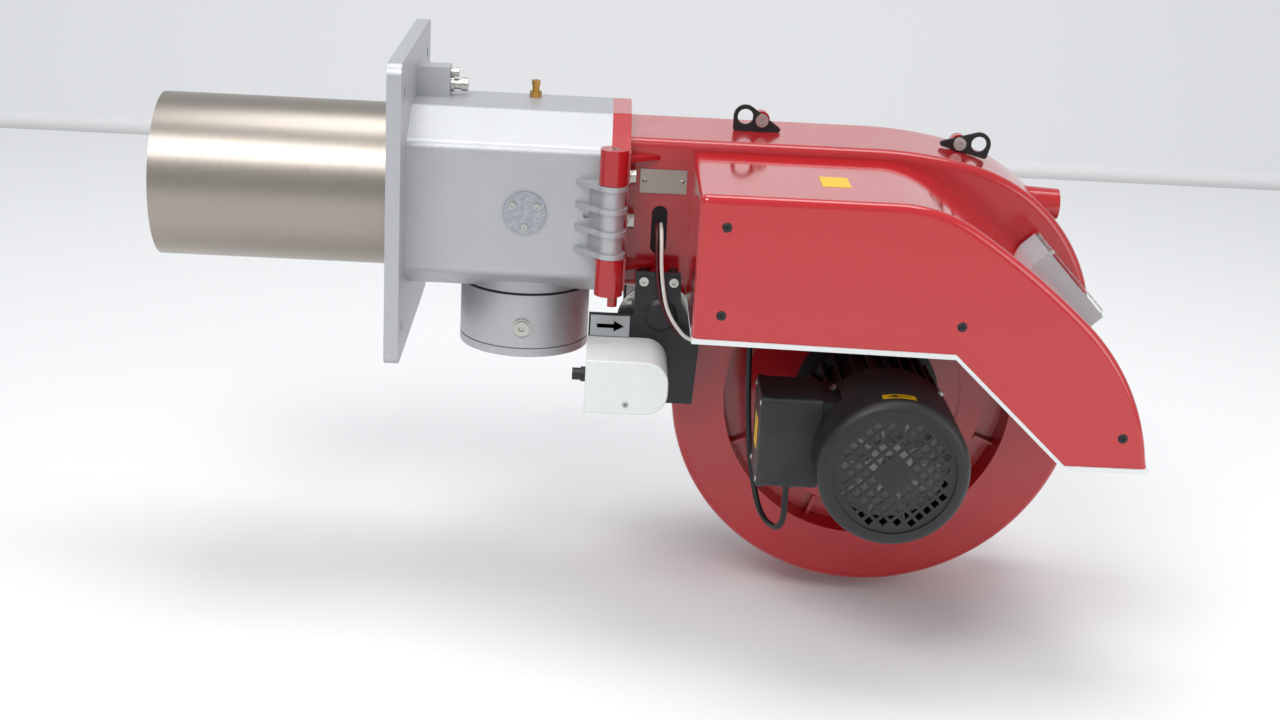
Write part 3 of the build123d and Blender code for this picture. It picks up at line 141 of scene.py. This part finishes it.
M = {
    # glossy red enamel on the cast fan body
    "red_paint": finish_of("red_paint", "AE141B", 0.22, vary=0.03, scale=25, bump=0.18, coat=0.55,
                           grime=0.05),
    # moulded hood, smoother than the casting
    "hood_red": finish_of("hood_red", "B8141C", 0.12, scale=14, bump=0.03, coat=0.8),
    # silver heat-resistant paint over a sand casting
    "cast_alu": finish_of("cast_alu", "B9BABD", 0.44, metal=0.55, grain=1, scale=420, bump=0.35,
                          vary=0.05, grime=0.1),
    # drawn stainless tube with a faint grain round it
    "steel_tube": finish_of("steel_tube", "A39B92", 0.34, metal=1.0, grain=1, scale=160,
                            stretch=(9, 0.5, 0.5), vary=0.05, bump=0.05),
    # zinc-plated fasteners
    "zinc": finish_of("zinc", "BDBDB6", 0.32, metal=0.9, grain=1, scale=220, vary=0.08),
    # hot-dip galvanised sheet with its spangle
    "galvanised": finish_of("galvanised", "A9AEB3", 0.38, metal=0.9, cells=True, scale=330, vary=0.13),
    # turned brass
    "brass": finish_of("brass", "C4974F", 0.26, metal=1.0, grain=1, scale=200, vary=0.06),
    # satin black powder coat on plate steel
    "black_steel": finish_of("black_steel", "17171A", 0.42, grain=1, scale=500, bump=0.12, vary=0.05),
    # matt black motor paint
    "motor_black": finish_of("motor_black", "1B1B1E", 0.46, grain=1, scale=420, bump=0.25,
                             vary=0.06, grime=0.08),
    # white servo case and hood edging
    "white_plastic": finish_of("white_plastic", "DEE1E0", 0.42, scale=90, bump=0.06, vary=0.02),
    # light grey mouldings
    "grey_plastic": finish_of("grey_plastic", "A6ABAD", 0.46, scale=90, bump=0.06, vary=0.03),
    # dark mouldings
    "dark_plastic": finish_of("dark_plastic", "1D1D20", 0.4, scale=120, bump=0.06, vary=0.04),
    # sleeved wires
    "red_wire": finish_of("red_wire", "4A0A10", 0.45, scale=200, vary=0.05),
    "white_wire": finish_of("white_wire", "D8D6D0", 0.45, scale=200, vary=0.03),
    # rubber sheath and grommet
    "black_rubber": finish_of("black_rubber", "141416", 0.55, scale=300, vary=0.05, bump=0.05),
    # glazed electrode bodies
    "ceramic": finish_of("ceramic", "DAD5C8", 0.25, scale=60, vary=0.02),
    # graphite fibre gasket
    "fibre": finish_of("fibre", "202124", 0.75, grain=1, scale=500, vary=0.1, bump=0.2),
    # yellow printed label
    "yellow_label": finish_of("yellow_label", "E8B90C", 0.4, scale=60, vary=0.02),
    # black print
    "black_print": finish_of("black_print", "111112", 0.5, scale=60, vary=0.02),
    # painted shade: near black for the dark inside of screw slots and holes, standing in for the shadow in
    # the recess
    "dark": finish_of("dark", "0A0A0B", 0.7, scale=60, vary=0.02),
}
clear = bpy.data.materials.new("clear")
clear.use_nodes = True
clear_b = clear.node_tree.nodes["Principled BSDF"]
for key, value in (("Base Color", linear("DDE6EA")), ("Roughness", 0.05), ("Transmission Weight", 0.85),
                   ("IOR", 1.45), ("Alpha", 0.55)):
    clear_b.inputs[key].default_value = value
M["clear"] = clear

slots = {s["node"]: s["material_slot"] for s in frame["record"]["subparts"]}
for name, obj in nodes.items():
    obj.data.materials.clear()
    obj.data.materials.append(M[slots[name]])


# ---- detail pieces -------------------------------------------------------------------------
SHARP = math.radians(35)            # an edge that turns more than this is shaded sharp


def piece(name, bm, material, body, smooth=True):
    """One visual piece from a bmesh, riding on a body."""
    mesh = bpy.data.meshes.new(name)
    bm.to_mesh(mesh)
    bm.free()
    for p in mesh.polygons:
        p.use_smooth = smooth
    mesh.materials.append(M[material])
    obj = bpy.data.objects.new(name, mesh)
    bpy.context.scene.collection.objects.link(obj)
    if smooth:
        mesh.set_sharp_from_angle(angle=SHARP)
    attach(obj, body)
    return obj


def plate(bm, sx, sy, sz, place, bevel=0.0004, segments=2):
    """A box of given size under a matrix, with its edges bevelled."""
    made = bmesh.ops.create_cube(bm, size=1.0, matrix=place @ Matrix.Diagonal((sx, sy, sz, 1)))
    edges = list({e for v in made["verts"] for e in v.link_edges})
    bmesh.ops.bevel(bm, geom=edges, offset=bevel, offset_type="OFFSET", segments=segments,
                    profile=0.5, affect="EDGES", material=-1)


def disc(bm, radius, depth, place, bevel=0.0003, sides=40):
    """A short cylinder with both rims bevelled, along the matrix's Z."""
    made = bmesh.ops.create_cone(bm, cap_ends=True, segments=sides, radius1=radius, radius2=radius,
                                 depth=depth, matrix=place @ Matrix.Translation((0, 0, depth / 2)))
    edges = {e for v in made["verts"] for e in v.link_edges}
    rims = [e for e in edges if e.is_manifold and e.calc_face_angle(0) > 1]
    bmesh.ops.bevel(bm, geom=rims, offset=bevel, offset_type="OFFSET", segments=2, profile=0.5,
                    affect="EDGES", material=-1)


def facing(x, y, z, direction="-Y", roll=0.0):
    """A matrix at a point whose Z leaves the surface that way."""
    turn = {"-Y": Matrix.Rotation(math.pi / 2, 4, "X"), "+X": Matrix.Rotation(math.pi / 2, 4, "Y"),
            "-X": Matrix.Rotation(-math.pi / 2, 4, "Y"), "+Z": Matrix.Identity(4),
            "-Z": Matrix.Rotation(math.pi, 4, "X")}[direction]
    return Matrix.Translation((x, y, z)) @ turn @ Matrix.Rotation(roll, 4, "Z")


def sticker(name, w, h, place, material, body, thick=0.0003):
    """A thin plain rectangle that lies on a flat face."""
    bm = bmesh.new()
    plate(bm, w, h, thick, place @ Matrix.Translation((0, 0, thick / 2)), bevel=0.0001, segments=1)
    return piece(name, bm, material, body, smooth=False)


# a screw head's dome and its slots, as shares of its radius, and the slots' turn
DOME, SLOT_HEIGHT, SLOT_LENGTH, SLOT_WIDTH, SLOT_TURN = 0.45, 0.44, 1.1, 0.22, 0.4


def pan_screws(name, places, radius, body, material="zinc"):
    """Domed screw heads in one piece, and their crossed slots in a second: thin near-black plates on the
    dome, painted shade in place of recessed slots.
    """
    bm = bmesh.new()
    slot_shade_bm = bmesh.new()
    for place in places:
        bmesh.ops.create_uvsphere(bm, u_segments=28, v_segments=12, radius=radius,
                                  matrix=place @ Matrix.Diagonal((1, 1, DOME, 1)))
        top = place @ Matrix.Translation((0, 0, radius * SLOT_HEIGHT))
        # each slot is a thin near-black plate laid on the dome: painted shade where a real slot's recess
        # would be in shadow
        for turn in (0, math.pi / 2):
            plate(slot_shade_bm, radius * SLOT_LENGTH, radius * SLOT_WIDTH, 0.0003,
                  top @ Matrix.Rotation(turn + SLOT_TURN, 4, "Z"), bevel=0.00005, segments=1)
    piece(name, bm, material, body)
    piece(name + "_slot_shade", slot_shade_bm, "dark", body, smooth=False)


# screws at the rating plate's two ends
PLATE_SCREW_Z, PLATE_SCREW_IN = 0.033, 0.005
low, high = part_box("rating_plate")
pan_screws("plate_screws", [facing(x, low[1], PLATE_SCREW_Z)
                            for x in (low[0] + PLATE_SCREW_IN, high[0] - PLATE_SCREW_IN)], 0.0024, "fan_unit")

# screws in the hood's front
HOOD_SCREWS = ((0.345, 0.035), (0.345, -0.055), (0.760, -0.165), (0.585, -0.055))
hood_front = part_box("hood")[0][1]
pan_screws("hood_screws", [facing(x, hood_front, z) for x, z in HOOD_SCREWS], 0.005, "fan_unit",
           "black_steel")

# clamp screws round the damper dial
DIAL_X, DIAL_Z, DIAL_FACE_Y, DIAL_SCREW_R = 0.287, -0.119, -0.088, 0.036
DIAL_SCREWS, DIAL_START, DIAL_STEP = 8, 80, 32
bm = bmesh.new()
for i in range(DIAL_SCREWS):
    a = math.radians(DIAL_START + i * DIAL_STEP)
    disc(bm, 0.0034, 0.005,
         facing(DIAL_X + DIAL_SCREW_R * math.cos(a), DIAL_FACE_Y, DIAL_Z + DIAL_SCREW_R * math.sin(a)))
piece("dial_screws", bm, "zinc", "damper")

# arrow on the index plate
low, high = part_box("index_plate")
mx, mz = (low[0] + high[0]) / 2, (low[2] + high[2]) / 2
ARROW = ((-0.014, 0.0022), (0.004, 0.0022), (0.004, 0.006), (0.015, 0), (0.004, -0.006), (0.004, -0.0022),
         (-0.014, -0.0022))
ARROW_THICK = 0.0003
bm = bmesh.new()
face = bm.faces.new([bm.verts.new((mx + x, low[1] - ARROW_THICK, mz + z)) for x, z in ARROW])
bmesh.ops.solidify(bm, geom=[face], thickness=ARROW_THICK)
piece("index_arrow", bm, "black_print", "fan_unit", smooth=False)

# plain label on the hood's top and a screw in the servo's front
sticker("hood_label", 0.029, 0.044, facing(0.457, -0.180, 0.066, "+Z"), "yellow_label", "fan_unit")
low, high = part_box("servo_housing")
pan_screws("servo_screw", [facing(0.256, low[1], -0.179)], 0.0035, "fan_unit")

# the motor's axis and its cowl's radius
MOTOR_X, MOTOR_Z, COWL_R = 0.527, -0.203, 0.0775


def bent_label(name, y0, y1, half, material, lift, shape=None):
    """A thin label wrapped round the top of the motor cowl; shape gives its half depth along it."""
    bm = bmesh.new()
    rows = []
    for i in range(17):
        a = math.radians(90 - half + 2 * half * i / 16)
        r = COWL_R + lift
        mid, part = (y0 + y1) / 2, (shape(i / 16) if shape else 1.0) * (y1 - y0) / 2
        x, z = MOTOR_X + r * math.cos(a), MOTOR_Z + r * math.sin(a)
        rows.append([bm.verts.new((x, mid + s * part, z)) for s in (-1, 1)])
    faces = [bm.faces.new((p[0], p[1], q[1], q[0])) for p, q in zip(rows, rows[1:])]
    bmesh.ops.solidify(bm, geom=faces, thickness=-0.0002)
    piece(name, bm, material, "fan_unit", smooth=False)


bent_label("turn_label", -0.286, -0.274, 12.5, "yellow_label", 0.0002)
bent_label("turn_arrow", -0.2835, -0.2765, 9, "black_print", 0.0005,
           lambda k: 0.25 if k < 0.62 else 1.02 - (k - 0.62) * 2.6)

# plain label and four screws on the lid of the motor's terminal box
LID_Y, LID_Z, LID_SCREW_X = -0.200, -0.197, 0.394
low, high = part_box("terminal_box_lid")
sticker("box_label", 0.034, 0.030, facing(low[0], LID_Y, LID_Z, "-X"), "yellow_label", "fan_unit")
pan_screws("lid_screws", [facing(LID_SCREW_X, LID_Y + sy * 0.032, LID_Z + sz * 0.042, "-X")
                          for sy in (-1, 1) for sz in (-1, 1)], 0.0032, "fan_unit")

# screws that hold the control panel to the hood, at its four corners
PANEL_AT, PANEL_SLOPE = (0.712, -0.114, -0.0465), 44
tilt = Matrix.Translation(PANEL_AT) @ Matrix.Rotation(math.radians(90 - PANEL_SLOPE), 4, "Y")
pan_screws("panel_screws", [tilt @ Matrix.Translation((sx * 0.043, sy * 0.035, 0.014))
                            for sx in (-1, 1) for sy in (-1, 1)], 0.0024, "fan_unit")

# rings on the terminal box's gland
bm = bmesh.new()
for i in range(3):
    disc(bm, 0.0082, 0.0015, facing(0.430, LID_Y, -0.2515 - i * 0.0022, "-Z"))
piece("gland_rings", bm, "dark_plastic", "fan_unit")

# ---- stage, light and camera ---------------------------------------------------------------
stage_mat = bpy.data.materials.new("stage_white")
stage_mat.use_nodes = True
stage_b = stage_mat.node_tree.nodes["Principled BSDF"]
stage_b.inputs["Base Color"].default_value = (0.9, 0.9, 0.9, 1)
stage_b.inputs["Roughness"].default_value = 0.9

# a floor that curves up into a back wall: its two ends in X, where the curve starts, its radius
COVE_LEFT, COVE_RIGHT, COVE_FRONT, COVE_BACK, COVE_R, COVE_TOP = -6, 6.5, -6, 2.2, 1.2, 7
COVE_STEPS = 12
bm = bmesh.new()
floor_z = cad_box[0][2] - 0.02
profile = [(COVE_LEFT, COVE_FRONT, floor_z), (COVE_LEFT, COVE_BACK, floor_z)]
for i in range(COVE_STEPS + 1):
    a = math.radians(i * 90 / COVE_STEPS)
    profile.append((COVE_LEFT, COVE_BACK + COVE_R * math.sin(a), floor_z + COVE_R * (1 - math.cos(a))))
profile.append((COVE_LEFT, COVE_BACK + COVE_R, COVE_TOP))
left = [bm.verts.new(p) for p in profile]
right = [bm.verts.new((COVE_RIGHT, p[1], p[2])) for p in profile]
for i in range(len(profile) - 1):
    bm.faces.new((left[i], left[i + 1], right[i + 1], right[i]))
mesh = bpy.data.meshes.new("cove")
bm.to_mesh(mesh)
bm.free()
for p in mesh.polygons:
    p.use_smooth = True
mesh.materials.append(stage_mat)
cove = bpy.data.objects.new("cove", mesh)
bpy.context.scene.collection.objects.link(cove)


def area(name, where, aim, size, power):
    """A rectangular lamp at a point, turned to another."""
    light = bpy.data.lights.new(name, "AREA")
    light.shape = "RECTANGLE"
    light.size, light.size_y = size
    light.energy = power
    obj = bpy.data.objects.new(name, light)
    obj.location = where
    obj.rotation_euler = (Vector(aim) - Vector(where)).to_track_quat("-Z", "Y").to_euler()
    bpy.context.scene.collection.objects.link(obj)


area("key", (-0.6, -2.0, 2.2), (0.3, 0, -0.1), (1.6, 1.2), 42)
area("top", (0.4, 0.2, 2.4), (0.35, 0, 0), (2.2, 1.2), 34)
area("fill", (2.4, -1.6, 0.6), (0.4, 0, -0.1), (1.4, 1.6), 14)

# near white where the camera sees the sky, softer and bluer where only light comes from it
world = bpy.data.worlds.new("soft")
bpy.context.scene.world = world
world.use_nodes = True
t = world.node_tree
t.nodes.clear()
path = add(t, "ShaderNodeLightPath")
plain = add(t, "ShaderNodeBackground", Strength=1.0)
plain.inputs["Color"].default_value = (0.95, 0.95, 0.95, 1)
soft = add(t, "ShaderNodeBackground", Strength=0.6)
soft.inputs["Color"].default_value = (0.85, 0.88, 0.92, 1)
mix = add(t, "ShaderNodeMixShader")
t.links.new(path.outputs["Is Camera Ray"], mix.inputs[0])
t.links.new(soft.outputs[0], mix.inputs[1])
t.links.new(plain.outputs[0], mix.inputs[2])
t.links.new(mix.outputs[0], add(t, "ShaderNodeOutputWorld").inputs[0])

# the photo's camera as solved from the flange, tube and head: lens in mm, place in m, angles in radians
LENS, SENSOR, CAM_AT = 54.70, 36, (0.2174, -2.105, 0.503)
PITCH, PAN, ROLL = 0.319, -0.027, 0.055
cam_data = bpy.data.cameras.new("camera")
cam_data.sensor_width = SENSOR
cam_data.lens = LENS
cam = bpy.data.objects.new("camera", cam_data)
fwd = Vector((-math.sin(PAN) * math.cos(PITCH), math.cos(PAN) * math.cos(PITCH), -math.sin(PITCH)))
side = Vector((math.cos(PAN), math.sin(PAN), 0))
over = side.cross(fwd)
x_axis = side * math.cos(ROLL) + over * math.sin(ROLL)
y_axis = over * math.cos(ROLL) - side * math.sin(ROLL)
cam.matrix_world = Matrix(((x_axis.x, y_axis.x, -fwd.x, CAM_AT[0]), (x_axis.y, y_axis.y, -fwd.y, CAM_AT[1]),
                           (x_axis.z, y_axis.z, -fwd.z, CAM_AT[2]), (0, 0, 0, 1)))
bpy.context.scene.collection.objects.link(cam)
bpy.context.scene.camera = cam
bpy.context.scene.view_settings.view_transform = "Standard"
